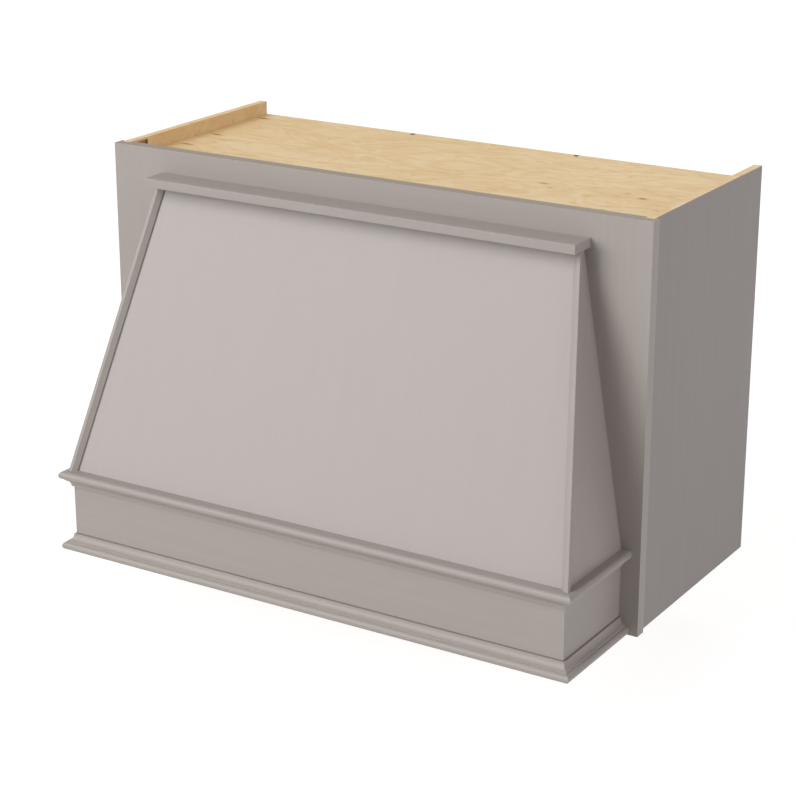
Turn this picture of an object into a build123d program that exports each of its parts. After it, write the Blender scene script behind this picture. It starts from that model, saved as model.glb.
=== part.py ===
"""Wall-hung wooden range hood cover: a cabinet box with a flared, sloping hood on its front.

Millimetres. X runs along the width from the middle, Z up from the underside, and Y = 0 is the
wall, so everything stands at negative Y and the hood reaches furthest from the wall.
"""
import os

from build123d import *

os.makedirs("parts", exist_ok=True)

# ---- cabinet box ------------------------------------------------------------------------------
cabinet_width = 914.4
cabinet_height = 609.6
cabinet_depth = 381.0
frame_thickness = 19.05
stile_width = 114.3
top_rail_width = 88.9
tenon_length = 20.0
tenon_thickness = 6.35
tenon_height = 50.8
tenon_clearance = 0.2
liner_notch_height = 115.0
frame_overhang = 5.5
side_thickness = 12.7
side_groove_depth = 6.0
top_thickness = 12.7
top_recess = 21.0
top_dado_depth = 4.0
hanging_rail_thickness = 12.7
hanging_rail_height = 76.2
block_recess_depth = 4.0
block_recess_length = 39.5
block_recess_stop = 3.5
corner_block_width = 22.0
corner_block_height = 70.0

# ---- hood -------------------------------------------------------------------------------------
ledge_depth = 45.7
ledge_thickness = 13.8
ledge_top_drop = 35.3
ledge_end_overhang = 10.0
apron_margin = 30.0
apron_projection = 170.3
apron_height = 130.0
apron_thickness = 12.7
gusset_thickness = 12.7
gusset_top_margin = 102.7
panel_thickness = 6.35
panel_top_reach = 13.9
panel_foot_setback = 4.2
strip_width = 13.0
strip_thickness = 7.5
strip_overhang = 6.3
strip_flat_width = 5.3
strip_inner_edge = 2.4

# ---- moulding profile: rounded nose, quirk, cove and thin edge ----------------------------------
moulding_height = 25.4
moulding_reach = 16.9
nose_radius = 6.4
quirk_height = 1.8
thin_edge_reach = 2.9
thin_edge_height = 0.8

# ---- framing inside the hood --------------------------------------------------------------------
rib_thickness = 12.7
rib_depth = 45.0
rib_spacing = 260.0
rib_top_gap = 17.0
apron_rail_depth = 50.0
apron_rail_height = 19.05
apron_block_leg = 40.0
apron_block_height = 70.0
apron_block_base = 30.0
gusset_cleat_width = 19.05
gusset_cleat_depth = 19.05
gusset_cleat_height = 200.0
gusset_cleat_lift = 12.0
liner_cleat_thickness = 19.05
liner_cleat_height = 38.1
liner_cleat_base = 38.1
liner_cleat_end_gap = 25.0

# ---- screws, dowels and holes -------------------------------------------------------------------
hole_clearance = 0.2
screw_radius = 2.0
screw_tip_length = 5.0
screw_head_radius = 3.9
screw_head_height = 2.6
screw_head_round = 1.2
drive_width = 2.4
drive_depth = 1.6
board_screw_length = 32.0
cleat_screw_length = 28.0
top_screw_spacing = 296.0
top_screw_sink = 4.5
ledge_screw_spacing = 230.0
ledge_screw_count = 3
gusset_screw_spacing = 140.0
apron_screw_spacing = 60.0
cleat_screw_end = 30.0
dowel_radius = 3.0
dowel_length = 30.0
dowel_side_depth = 8.0
dowel_spacing = 40.0
wall_hole_radius = 2.5
wall_hole_spacing = 406.4
liner_hole_radius = 1.5
liner_hole_depth = 20.0
liner_hole_end = 50.0

# ---- places that follow from the sizes ----------------------------------------------------------
half_width = cabinet_width / 2
frame_front = -cabinet_depth
frame_back = frame_front + frame_thickness
stile_inner = half_width - stile_width
side_outer = half_width - frame_overhang
side_inner = side_outer - side_thickness
side_front = frame_back - side_groove_depth
top_surface = cabinet_height - top_recess
top_underside = top_surface - top_thickness
rail_front = -hanging_rail_thickness
rail_middle_y = rail_front / 2
upper_rail_middle = top_underside - hanging_rail_height / 2
lower_rail_middle = hanging_rail_height / 2
ledge_underside = cabinet_height - ledge_top_drop - ledge_thickness
apron_outer = half_width - apron_margin
apron_inner = apron_outer - apron_thickness
apron_face = frame_front - apron_projection
apron_back = apron_face + apron_thickness
gusset_top_x = half_width - gusset_top_margin
panel_foot_reach = apron_projection - panel_foot_setback
hood_rise = ledge_underside - apron_height
splay = (apron_outer - gusset_top_x) / hood_rise
slope = (panel_foot_reach - panel_top_reach) / hood_rise
slope_stretch = (1 + slope**2) ** 0.5
panel_level_thickness = panel_thickness * slope_stretch
strip_level_thickness = strip_thickness * slope_stretch
gusset_level_thickness = gusset_thickness * (1 + splay**2) ** 0.5
screw_hole_radius = screw_radius + hole_clearance
cut_span = cabinet_width + cabinet_depth
LEFT = -1
RIGHT = 1


def gusset_outer_x(height):
    """Outer face of the right gusset at this height."""
    return gusset_top_x + splay * (ledge_underside - height)


def gusset_inner_x(height):
    """Inner face of the right gusset at this height."""
    return gusset_outer_x(height) - gusset_level_thickness


def gusset_outer_plane(side):
    """Plane of a gusset's outer face; it leans in towards the top and its Z axis points outwards."""
    on_outer_face = (side * gusset_top_x, frame_front, ledge_underside)
    return Plane(origin=on_outer_face, x_dir=(0, 1, 0), z_dir=(side, 0, splay))


def panel_face_y(height):
    """Front of the sloped panel at this height."""
    return frame_front - panel_top_reach - slope * (ledge_underside - height)


def panel_back_y(height):
    """Back of the sloped panel at this height."""
    return panel_face_y(height) + panel_level_thickness


def wood_screw(length):
    """Pan-head screw: the head's seat is at the origin and the shank points down."""
    with BuildPart() as screw:
        with BuildSketch(Plane.XZ):
            Polygon(
                (0, screw_head_height),
                (screw_head_radius, screw_head_height),
                (screw_head_radius, 0),
                (screw_radius, 0),
                (screw_radius, screw_tip_length - length),
                (0, -length),
                align=None,
            )
        revolve(axis=Axis.Z)
        head_rim = screw.edges().filter_by(GeomType.CIRCLE).group_by(Axis.Z)[-1]
        fillet(head_rim, radius=screw_head_round)
        with BuildSketch(Plane.XY.offset(screw_head_height)):
            Rectangle(drive_width, drive_width)
        extrude(amount=-drive_depth, mode=Mode.SUBTRACT)
    return screw.part


# ---- where the screws and dowels go -------------------------------------------------------------
ledge_screw_z = ledge_underside + ledge_thickness / 2
ledge_screw_spots = [
    (ledge_screw_spacing * (index - (ledge_screw_count - 1) / 2), ledge_screw_z)
    for index in range(ledge_screw_count)
]
gusset_cleat_base = apron_height + gusset_cleat_lift
gusset_cleat_top = gusset_cleat_base + gusset_cleat_height
gusset_cleat_middle = (gusset_cleat_base + gusset_cleat_top) / 2
gusset_screw_spots = [
    (gusset_inner_x(z) - gusset_cleat_width / 2, z)
    for z in (
        gusset_cleat_middle - gusset_screw_spacing / 2,
        gusset_cleat_middle + gusset_screw_spacing / 2,
    )
]
apron_screw_x = apron_outer - apron_thickness / 2
apron_screw_spots = [
    (apron_screw_x, apron_height / 2 - apron_screw_spacing / 2),
    (apron_screw_x, apron_height / 2 + apron_screw_spacing / 2),
]
top_screw_xs = (-top_screw_spacing / 2, top_screw_spacing / 2)
wall_hole_xs = (-wall_hole_spacing / 2, wall_hole_spacing / 2)
dowel_offsets = (-dowel_spacing / 2, dowel_spacing / 2)
lower_dowel_zs = [lower_rail_middle + offset for offset in dowel_offsets]
upper_dowel_zs = [upper_rail_middle + offset for offset in dowel_offsets]
liner_cleat_front = frame_back + liner_cleat_end_gap
liner_cleat_back = rail_front - liner_cleat_end_gap
liner_cleat_length = liner_cleat_back - liner_cleat_front
liner_cleat_middle_y = (liner_cleat_front + liner_cleat_back) / 2
liner_cleat_middle_z = liner_cleat_base + liner_cleat_height / 2
liner_cleat_inner = side_inner - liner_cleat_thickness
side_cleat_screw_ys = (liner_cleat_front + cleat_screw_end, liner_cleat_back - cleat_screw_end)
front_cleat_half = apron_inner - apron_block_leg - liner_cleat_end_gap
front_cleat_back = apron_back + liner_cleat_thickness
front_cleat_screw_xs = (cleat_screw_end - front_cleat_half, front_cleat_half - cleat_screw_end)
cleat_screw_bite = cleat_screw_length - liner_cleat_thickness + hole_clearance
board_screw_bite = board_screw_length - frame_thickness + hole_clearance
liner_hole_ys = (liner_cleat_front + liner_hole_end, liner_cleat_back - liner_hole_end)

# ---- face frame: two stiles and a top rail ------------------------------------------------------
tenon_back = frame_back - (frame_thickness - tenon_thickness) / 2
top_rail_middle = cabinet_height - top_rail_width / 2

with BuildPart() as stile_right:
    with BuildSketch(Plane.XZ.offset(-frame_back)):
        Polygon(
            (apron_inner, 0),
            (half_width, 0),
            (half_width, cabinet_height),
            (stile_inner, cabinet_height),
            (stile_inner, liner_notch_height),
            (apron_inner, liner_notch_height),
            align=None,
        )
        with Locations(*gusset_screw_spots, *apron_screw_spots):
            Circle(screw_hole_radius, mode=Mode.SUBTRACT)
    extrude(amount=frame_thickness)
    with BuildSketch(Plane.XZ.offset(-frame_back)):
        with Locations(((side_inner + side_outer) / 2, cabinet_height / 2)):
            Rectangle(side_thickness, cabinet_height)
    extrude(amount=side_groove_depth, mode=Mode.SUBTRACT)
    with BuildSketch(Plane.XZ.offset(-(tenon_back + tenon_clearance))):
        with Locations((stile_inner, top_rail_middle)):
            Rectangle(2 * (tenon_length + tenon_clearance), tenon_height + 2 * tenon_clearance)
    extrude(amount=tenon_thickness + 2 * tenon_clearance, mode=Mode.SUBTRACT)

with BuildPart() as stile_left:
    mirror(stile_right.part, about=Plane.YZ)

with BuildPart() as top_rail:
    with BuildSketch(Plane.XZ.offset(-frame_back)):
        with Locations((0, top_rail_middle)):
            Rectangle(2 * stile_inner, top_rail_width)
    extrude(amount=frame_thickness)
    with BuildSketch(Plane.XZ.offset(-tenon_back)):
        with Locations((0, top_rail_middle)):
            Rectangle(2 * (stile_inner + tenon_length), tenon_height)
    extrude(amount=tenon_thickness)
    with BuildSketch(Plane.XZ.offset(-frame_back)):
        with Locations(*ledge_screw_spots):
            Circle(screw_hole_radius)
    extrude(amount=frame_thickness, mode=Mode.SUBTRACT)

# ---- sides: dadoed for the top, with a stopped recess for the corner block ----------------------
recess_foot = top_underside - corner_block_height
recess_head = cabinet_height - block_recess_stop
recess_middle_y = frame_back + block_recess_length / 2

with BuildPart() as side_right:
    with BuildSketch(Plane.YZ.offset(side_inner)):
        with Locations((side_front / 2, cabinet_height / 2)):
            Rectangle(-side_front, cabinet_height)
    extrude(amount=side_thickness)
    with BuildSketch(Plane.YZ.offset(side_inner)):
        with Locations((frame_back / 2, (top_surface + top_underside) / 2)):
            Rectangle(-frame_back, top_thickness)
    extrude(amount=top_dado_depth, mode=Mode.SUBTRACT)
    with BuildSketch(Plane.YZ.offset(side_inner)):
        with Locations((recess_middle_y, (recess_foot + recess_head) / 2)):
            Rectangle(block_recess_length, recess_head - recess_foot)
    extrude(amount=block_recess_depth, mode=Mode.SUBTRACT)
    with BuildSketch(Plane.YZ.offset(side_inner)):
        with Locations(*[(y, liner_cleat_middle_z) for y in side_cleat_screw_ys]):
            Circle(screw_hole_radius)
    extrude(amount=cleat_screw_bite, mode=Mode.SUBTRACT)
    with BuildSketch(Plane.YZ.offset(side_inner)):
        with Locations(*[(rail_middle_y, z) for z in lower_dowel_zs + upper_dowel_zs]):
            Circle(dowel_radius + hole_clearance)
    extrude(amount=dowel_side_depth + hole_clearance, mode=Mode.SUBTRACT)

with BuildPart() as side_left:
    mirror(side_right.part, about=Plane.YZ)

# ---- top panel, housed in the sides and screwed down to the upper hanging rail ------------------
with BuildPart() as top_panel:
    with BuildSketch(Plane.XY.offset(top_underside)):
        with Locations((0, frame_back / 2)):
            Rectangle(2 * (side_inner + top_dado_depth), -frame_back)
    extrude(amount=top_thickness)
    with Locations(*[(x, rail_middle_y, top_surface) for x in top_screw_xs]):
        CounterBoreHole(screw_hole_radius, screw_head_radius + hole_clearance, top_screw_sink)

# ---- hanging rails, drilled for the wall screws -------------------------------------------------
dowel_rail_depth = dowel_length - dowel_side_depth + hole_clearance
top_screw_bite = board_screw_length + top_screw_sink - top_thickness + hole_clearance

with BuildPart() as hanging_rail_bottom:
    with BuildSketch(Plane.XZ):
        with Locations((0, lower_rail_middle)):
            Rectangle(2 * side_inner, hanging_rail_height)
        with Locations(*[(x, lower_rail_middle) for x in wall_hole_xs]):
            Circle(wall_hole_radius, mode=Mode.SUBTRACT)
    extrude(amount=hanging_rail_thickness)
    for side in (LEFT, RIGHT):
        with BuildSketch(Plane.YZ.offset(side * side_inner)):
            with Locations(*[(rail_middle_y, z) for z in lower_dowel_zs]):
                Circle(dowel_radius + hole_clearance)
        extrude(amount=-side * dowel_rail_depth, mode=Mode.SUBTRACT)

with BuildPart() as hanging_rail_top:
    with BuildSketch(Plane.XZ):
        with Locations((0, upper_rail_middle)):
            Rectangle(2 * side_inner, hanging_rail_height)
        with Locations(*[(x, upper_rail_middle) for x in wall_hole_xs]):
            Circle(wall_hole_radius, mode=Mode.SUBTRACT)
    extrude(amount=hanging_rail_thickness)
    for side in (LEFT, RIGHT):
        with BuildSketch(Plane.YZ.offset(side * side_inner)):
            with Locations(*[(rail_middle_y, z) for z in upper_dowel_zs]):
                Circle(dowel_radius + hole_clearance)
        extrude(amount=-side * dowel_rail_depth, mode=Mode.SUBTRACT)
    with BuildSketch(Plane.XY.offset(top_underside)):
        with Locations(*[(x, rail_middle_y) for x in top_screw_xs]):
            Circle(screw_hole_radius)
    extrude(amount=-top_screw_bite, mode=Mode.SUBTRACT)

# ---- corner blocks: let into the sides, against the frame and the underside of the top ----------
with BuildPart() as corner_block_right:
    with BuildSketch(Plane.XY.offset(recess_foot)):
        with Locations((side_inner + block_recess_depth - corner_block_width / 2, recess_middle_y)):
            Rectangle(corner_block_width, block_recess_length)
    extrude(amount=corner_block_height)

with BuildPart() as corner_block_left:
    mirror(corner_block_right.part, about=Plane.YZ)

# ---- ledge over the hood ------------------------------------------------------------------------
with BuildPart() as ledge:
    with BuildSketch(Plane.XY.offset(ledge_underside)):
        with Locations((0, frame_front - ledge_depth / 2)):
            Rectangle(2 * (gusset_top_x + ledge_end_overhang), ledge_depth)
    extrude(amount=ledge_thickness)
    with BuildSketch(Plane.XZ.offset(-frame_front)):
        with Locations(*ledge_screw_spots):
            Circle(screw_hole_radius)
    extrude(amount=board_screw_bite, mode=Mode.SUBTRACT)

# ---- gussets: leaning side boards, flush with the apron's returns --------------------------------
with BuildPart() as gusset_right:
    with BuildSketch(Plane.YZ):
        Polygon(
            (frame_front, apron_height),
            (frame_front, ledge_underside),
            (panel_back_y(ledge_underside), ledge_underside),
            (panel_back_y(apron_height), apron_height),
            align=None,
        )
    extrude(amount=half_width)
    with BuildSketch(gusset_outer_plane(RIGHT)):
        Rectangle(cut_span, cut_span)
    extrude(amount=-gusset_thickness, mode=Mode.INTERSECT)

with BuildPart() as gusset_left:
    mirror(gusset_right.part, about=Plane.YZ)

# ---- sloped panel, laid over the gussets' front edges and trimmed to their outer faces ------------
with BuildPart() as sloped_panel:
    with BuildSketch(Plane.YZ):
        Polygon(
            (panel_face_y(ledge_underside), ledge_underside),
            (panel_face_y(apron_height), apron_height),
            (panel_back_y(apron_height), apron_height),
            (panel_back_y(ledge_underside), ledge_underside),
            align=None,
        )
    extrude(amount=half_width, both=True)
    for side in (LEFT, RIGHT):
        with BuildSketch(gusset_outer_plane(side)):
            Rectangle(cut_span, cut_span)
        extrude(amount=half_width, mode=Mode.SUBTRACT)

# ---- corner strips: chamfered trim over the panel's edges, standing proud of the gussets ----------
strip_foot_outer = gusset_outer_x(apron_height) + strip_overhang
strip_foot_inner = strip_foot_outer - strip_width
strip_back = panel_face_y(apron_height)
strip_front = strip_back - strip_level_thickness
corner_line = Vector(-splay, slope, 1)

with BuildPart() as corner_strip_right:
    with BuildSketch(Plane.XY.offset(apron_height)):
        Polygon(
            (strip_foot_outer, strip_back),
            (strip_foot_outer, strip_front),
            (strip_foot_outer - strip_flat_width, strip_front),
            (strip_foot_inner, strip_back - strip_inner_edge * slope_stretch),
            (strip_foot_inner, strip_back),
            align=None,
        )
    extrude(amount=hood_rise * corner_line.length, dir=corner_line.normalized())

with BuildPart() as corner_strip_left:
    mirror(corner_strip_right.part, about=Plane.YZ)

# ---- ribs behind the sloped panel ---------------------------------------------------------------
rib_top = ledge_underside - rib_top_gap
rib_knee = ledge_underside - (panel_back_y(ledge_underside) + rib_depth - frame_front) / slope

with BuildPart() as panel_rib_right:
    with BuildSketch(Plane.YZ.offset((rib_spacing - rib_thickness) / 2)):
        Polygon(
            (panel_back_y(rib_top), rib_top),
            (panel_back_y(apron_height), apron_height),
            (panel_back_y(apron_height) + rib_depth, apron_height),
            (frame_front, rib_knee),
            (frame_front, rib_top),
            align=None,
        )
    extrude(amount=rib_thickness)

with BuildPart() as panel_rib_left:
    mirror(panel_rib_right.part, about=Plane.YZ)

# ---- apron: three boards mitred at the corners --------------------------------------------------
with BuildPart() as apron_front:
    with BuildSketch(Plane.XY):
        Polygon(
            (-apron_outer, apron_face),
            (apron_outer, apron_face),
            (apron_inner, apron_back),
            (-apron_inner, apron_back),
            align=None,
        )
    extrude(amount=apron_height)
    with BuildSketch(Plane.XZ.offset(-apron_back)):
        with Locations(*[(x, liner_cleat_middle_z) for x in front_cleat_screw_xs]):
            Circle(screw_hole_radius)
    extrude(amount=cleat_screw_bite, mode=Mode.SUBTRACT)

with BuildPart() as apron_right:
    with BuildSketch(Plane.XY):
        Polygon(
            (apron_outer, apron_face),
            (apron_outer, frame_front),
            (apron_inner, frame_front),
            (apron_inner, apron_back),
            align=None,
        )
    extrude(amount=apron_height)
    with BuildSketch(Plane.XZ.offset(-frame_front)):
        with Locations(*apron_screw_spots):
            Circle(screw_hole_radius)
    extrude(amount=board_screw_bite, mode=Mode.SUBTRACT)

with BuildPart() as apron_left:
    mirror(apron_right.part, about=Plane.YZ)

# ---- rail and corner blocks inside the apron ----------------------------------------------------
with BuildPart() as apron_rail:
    with BuildSketch(Plane.XY.offset(apron_height - apron_rail_height)):
        with Locations((0, apron_back + apron_rail_depth / 2)):
            Rectangle(2 * apron_inner, apron_rail_depth)
    extrude(amount=apron_rail_height)

with BuildPart() as apron_block_right:
    with BuildSketch(Plane.XY.offset(apron_block_base)):
        Polygon(
            (apron_inner, apron_back),
            (apron_inner, apron_back + apron_block_leg),
            (apron_inner - apron_block_leg, apron_back),
            align=None,
        )
    extrude(amount=apron_block_height)

with BuildPart() as apron_block_left:
    mirror(apron_block_right.part, about=Plane.YZ)

# ---- mouldings round the apron: nose down at its foot, nose up at its head ----------------------
nose_x = moulding_reach - nose_radius
nose_top = 2 * nose_radius
cove_foot = nose_top + quirk_height
cove_head = moulding_height - thin_edge_height
mitre_x = apron_outer + moulding_reach
mitre_y = apron_face - moulding_reach
along_front = Plane(origin=(half_width, apron_face, 0), x_dir=(0, -1, 0), z_dir=(-1, 0, 0))
along_side = Plane(origin=(apron_outer, frame_front, 0), x_dir=(1, 0, 0), z_dir=(0, -1, 0))
apron_mid_height = Plane.XY.offset(apron_height / 2)

with BuildSketch() as moulding_section:
    with BuildLine():
        Polyline(
            (nose_x, 0),
            (0, 0),
            (0, moulding_height),
            (thin_edge_reach, moulding_height),
            (thin_edge_reach, cove_head),
        )
        TangentArc((thin_edge_reach, cove_head), (nose_x, cove_foot), tangent=(0, -1))
        Line((nose_x, cove_foot), (nose_x, nose_top))
        ThreePointArc((nose_x, nose_top), (moulding_reach, nose_radius), (nose_x, 0))
    make_face()

with BuildPart() as lower_moulding_front:
    with BuildSketch(along_front):
        add(moulding_section.sketch)
    extrude(amount=cabinet_width)
    with BuildSketch(Plane.XY):
        Polygon(
            (-apron_outer, apron_face),
            (apron_outer, apron_face),
            (mitre_x, mitre_y),
            (-mitre_x, mitre_y),
            align=None,
        )
    extrude(amount=moulding_height, mode=Mode.INTERSECT)

with BuildPart() as lower_moulding_right:
    with BuildSketch(along_side):
        add(moulding_section.sketch)
    extrude(amount=frame_front - mitre_y)
    with BuildSketch(Plane.XY):
        Polygon(
            (apron_outer, frame_front),
            (apron_outer, apron_face),
            (mitre_x, mitre_y),
            (mitre_x, frame_front),
            align=None,
        )
    extrude(amount=moulding_height, mode=Mode.INTERSECT)

with BuildPart() as lower_moulding_left:
    mirror(lower_moulding_right.part, about=Plane.YZ)

with BuildPart() as upper_moulding_front:
    mirror(lower_moulding_front.part, about=apron_mid_height)

with BuildPart() as upper_moulding_right:
    mirror(lower_moulding_right.part, about=apron_mid_height)

with BuildPart() as upper_moulding_left:
    mirror(upper_moulding_right.part, about=Plane.YZ)

# ---- gusset cleats: battens on the frame that the gussets are glued to --------------------------
with BuildPart() as gusset_cleat_right:
    with BuildSketch(Plane.XZ.offset(-frame_front)):
        Polygon(
            (gusset_outer_x(gusset_cleat_base), gusset_cleat_base),
            (gusset_outer_x(gusset_cleat_top), gusset_cleat_top),
            (gusset_inner_x(gusset_cleat_top) - gusset_cleat_width, gusset_cleat_top),
            (gusset_inner_x(gusset_cleat_base) - gusset_cleat_width, gusset_cleat_base),
            align=None,
        )
    extrude(amount=gusset_cleat_depth)
    with BuildSketch(gusset_outer_plane(RIGHT).offset(-gusset_thickness)):
        Rectangle(cut_span, cut_span)
    extrude(amount=half_width, mode=Mode.SUBTRACT)
    with BuildSketch(Plane.XZ.offset(-frame_front)):
        with Locations(*gusset_screw_spots):
            Circle(screw_hole_radius)
    extrude(amount=board_screw_bite, mode=Mode.SUBTRACT)

with BuildPart() as gusset_cleat_left:
    mirror(gusset_cleat_right.part, about=Plane.YZ)

# ---- liner cleats: a hood liner screws up into their undersides ---------------------------------
with BuildPart() as liner_cleat_right:
    with BuildSketch(Plane.YZ.offset(liner_cleat_inner)):
        with Locations((liner_cleat_middle_y, liner_cleat_middle_z)):
            Rectangle(liner_cleat_length, liner_cleat_height)
        with Locations(*[(y, liner_cleat_middle_z) for y in side_cleat_screw_ys]):
            Circle(screw_hole_radius, mode=Mode.SUBTRACT)
    extrude(amount=liner_cleat_thickness)
    with BuildSketch(Plane.XY.offset(liner_cleat_base)):
        with Locations(*[(side_inner - liner_cleat_thickness / 2, y) for y in liner_hole_ys]):
            Circle(liner_hole_radius)
    extrude(amount=liner_hole_depth, mode=Mode.SUBTRACT)

with BuildPart() as liner_cleat_left:
    mirror(liner_cleat_right.part, about=Plane.YZ)

with BuildPart() as liner_cleat_apron:
    with BuildSketch(Plane.XZ.offset(-front_cleat_back)):
        with Locations((0, liner_cleat_middle_z)):
            Rectangle(2 * front_cleat_half, liner_cleat_height)
        with Locations(*[(x, liner_cleat_middle_z) for x in front_cleat_screw_xs]):
            Circle(screw_hole_radius, mode=Mode.SUBTRACT)
    extrude(amount=liner_cleat_thickness)

# ---- screws and dowels --------------------------------------------------------------------------
board_screw = wood_screw(board_screw_length)
cleat_screw = wood_screw(cleat_screw_length)
to_the_wall = (0, 1, 0)

with BuildPart() as ledge_screws:
    with Locations(*[Plane((x, frame_back, z), z_dir=to_the_wall) for x, z in ledge_screw_spots]):
        add(board_screw)

with BuildPart() as gusset_screws:
    for side in (LEFT, RIGHT):
        with Locations(*[Plane((side * x, frame_back, z), z_dir=to_the_wall) for x, z in gusset_screw_spots]):
            add(board_screw)

with BuildPart() as apron_screws:
    for side in (LEFT, RIGHT):
        with Locations(*[Plane((side * x, frame_back, z), z_dir=to_the_wall) for x, z in apron_screw_spots]):
            add(board_screw)

with BuildPart() as top_screws:
    with Locations(*[(x, rail_middle_y, top_surface - top_screw_sink) for x in top_screw_xs]):
        add(board_screw)

with BuildPart() as cleat_screws:
    for side in (LEFT, RIGHT):
        with Locations(
            *[
                Plane((side * liner_cleat_inner, y, liner_cleat_middle_z), z_dir=(-side, 0, 0))
                for y in side_cleat_screw_ys
            ]
        ):
            add(cleat_screw)
    with Locations(
        *[
            Plane((x, front_cleat_back, liner_cleat_middle_z), z_dir=to_the_wall)
            for x in front_cleat_screw_xs
        ]
    ):
        add(cleat_screw)

with BuildPart() as rail_dowels:
    for side in (LEFT, RIGHT):
        with BuildSketch(Plane.YZ.offset(side * (side_inner + dowel_side_depth))):
            with Locations(*[(rail_middle_y, z) for z in lower_dowel_zs + upper_dowel_zs]):
                Circle(dowel_radius)
        extrude(amount=-side * dowel_length)

# ---- labels and export --------------------------------------------------------------------------
pieces = {
    "stile_left": stile_left,
    "stile_right": stile_right,
    "top_rail": top_rail,
    "side_left": side_left,
    "side_right": side_right,
    "top_panel": top_panel,
    "hanging_rail_top": hanging_rail_top,
    "hanging_rail_bottom": hanging_rail_bottom,
    "corner_block_left": corner_block_left,
    "corner_block_right": corner_block_right,
    "ledge": ledge,
    "gusset_left": gusset_left,
    "gusset_right": gusset_right,
    "sloped_panel": sloped_panel,
    "corner_strip_left": corner_strip_left,
    "corner_strip_right": corner_strip_right,
    "panel_rib_left": panel_rib_left,
    "panel_rib_right": panel_rib_right,
    "apron_front": apron_front,
    "apron_left": apron_left,
    "apron_right": apron_right,
    "apron_rail": apron_rail,
    "apron_block_left": apron_block_left,
    "apron_block_right": apron_block_right,
    "lower_moulding_front": lower_moulding_front,
    "lower_moulding_left": lower_moulding_left,
    "lower_moulding_right": lower_moulding_right,
    "upper_moulding_front": upper_moulding_front,
    "upper_moulding_left": upper_moulding_left,
    "upper_moulding_right": upper_moulding_right,
    "gusset_cleat_left": gusset_cleat_left,
    "gusset_cleat_right": gusset_cleat_right,
    "liner_cleat_left": liner_cleat_left,
    "liner_cleat_right": liner_cleat_right,
    "liner_cleat_apron": liner_cleat_apron,
    "ledge_screws": ledge_screws,
    "gusset_screws": gusset_screws,
    "apron_screws": apron_screws,
    "top_screws": top_screws,
    "cleat_screws": cleat_screws,
    "rail_dowels": rail_dowels,
}

for name, piece in pieces.items():
    piece.part.label = name
    export_step(piece.part, f"parts/{name}.step")
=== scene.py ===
# %% [markdown]
# # A wooden range hood cover
# The real object is a cabinet box that hangs on the wall over a range, with a painted, sloping hood on
# its front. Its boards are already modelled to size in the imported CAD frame, so no measure changes
# here: this lesson is about finish. It eases the boards' edges, gives them satin paint or bare maple,
# and lights them plainly. Everything is in metres, with X along the width, Y towards the wall and Z up.

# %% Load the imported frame
import math

import bmesh
import bpy
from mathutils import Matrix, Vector


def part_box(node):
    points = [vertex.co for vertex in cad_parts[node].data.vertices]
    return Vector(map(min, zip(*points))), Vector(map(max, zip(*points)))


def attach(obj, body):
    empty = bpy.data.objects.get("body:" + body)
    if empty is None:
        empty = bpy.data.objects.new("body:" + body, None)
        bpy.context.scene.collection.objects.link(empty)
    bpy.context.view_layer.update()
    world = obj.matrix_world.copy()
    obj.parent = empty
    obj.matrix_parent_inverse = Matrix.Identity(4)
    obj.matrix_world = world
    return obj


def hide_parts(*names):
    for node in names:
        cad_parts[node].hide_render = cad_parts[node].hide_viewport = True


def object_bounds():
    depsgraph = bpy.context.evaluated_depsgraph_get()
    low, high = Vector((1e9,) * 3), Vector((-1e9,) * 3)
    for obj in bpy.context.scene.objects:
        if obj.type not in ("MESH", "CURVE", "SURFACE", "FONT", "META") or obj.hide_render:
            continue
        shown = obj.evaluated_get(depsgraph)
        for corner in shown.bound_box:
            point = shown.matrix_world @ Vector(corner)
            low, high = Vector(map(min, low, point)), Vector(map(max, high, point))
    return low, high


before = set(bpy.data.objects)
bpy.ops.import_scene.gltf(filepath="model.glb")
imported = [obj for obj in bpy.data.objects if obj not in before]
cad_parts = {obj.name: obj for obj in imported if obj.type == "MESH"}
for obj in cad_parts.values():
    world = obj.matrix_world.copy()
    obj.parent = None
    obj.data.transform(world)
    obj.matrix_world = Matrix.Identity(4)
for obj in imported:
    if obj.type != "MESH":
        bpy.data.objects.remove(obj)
cad_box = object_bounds()
print("nodes:", len(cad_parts), "box:", [round(v, 4) for corner in cad_box for v in corner])

# %% [markdown]
# ## Colours and nodes
# Paint and wood colours are easiest to note as the hex values that a colour picker shows. Shaders work
# with linear light, so one function turns hex to linear. A second function adds any shader node with
# its settings and links, which keeps each material readable from top to bottom.

# %% One way to write colours, one way to add nodes
MM = 0.001


def linear(hex_colour):
    """sRGB hex such as "ABA39D" to linear RGBA."""
    values = [int(hex_colour[i : i + 2], 16) / 255 for i in (0, 2, 4)]
    return [v / 12.92 if v <= 0.04045 else ((v + 0.055) / 1.055) ** 2.4 for v in values] + [1.0]


def add_node(material, kind, settings=None, inputs=None):
    """Adds a node; an input is a plain value or another node's output socket."""
    node = material.node_tree.nodes.new("ShaderNode" + kind)
    for key, value in (settings or {}).items():
        setattr(node, key, value)
    for key, value in (inputs or {}).items():
        if isinstance(value, bpy.types.NodeSocket):
            material.node_tree.links.new(value, node.inputs[key])
        else:
            node.inputs[key].default_value = value
    return node


def new_material(name):
    material = bpy.data.materials.new(name)
    material.use_nodes = True
    material.node_tree.nodes.clear()
    return material


COLOUR_MIX = {"data_type": "RGBA"}  # a Mix node of colours: inputs 0 share, 6 and 7 colours, output 2
print("the frame's grey as linear light:", [round(v, 3) for v in linear("ABA39D")])

# %% [markdown]
# ## Patterns that follow the grain
# Wood isn't the same in all directions: each streak, fibre and fleck is longer along the board than
# across it. A noise texture's spots are round and one unit wide, so its coordinates are divided first,
# by a spot's length along the grain and by its width across it. Both are real sizes in millimetres.
# An image of wood would need unwrapping and would stop at each edge. This pattern is solid, so it runs
# on round the edges and into every hole.

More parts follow.
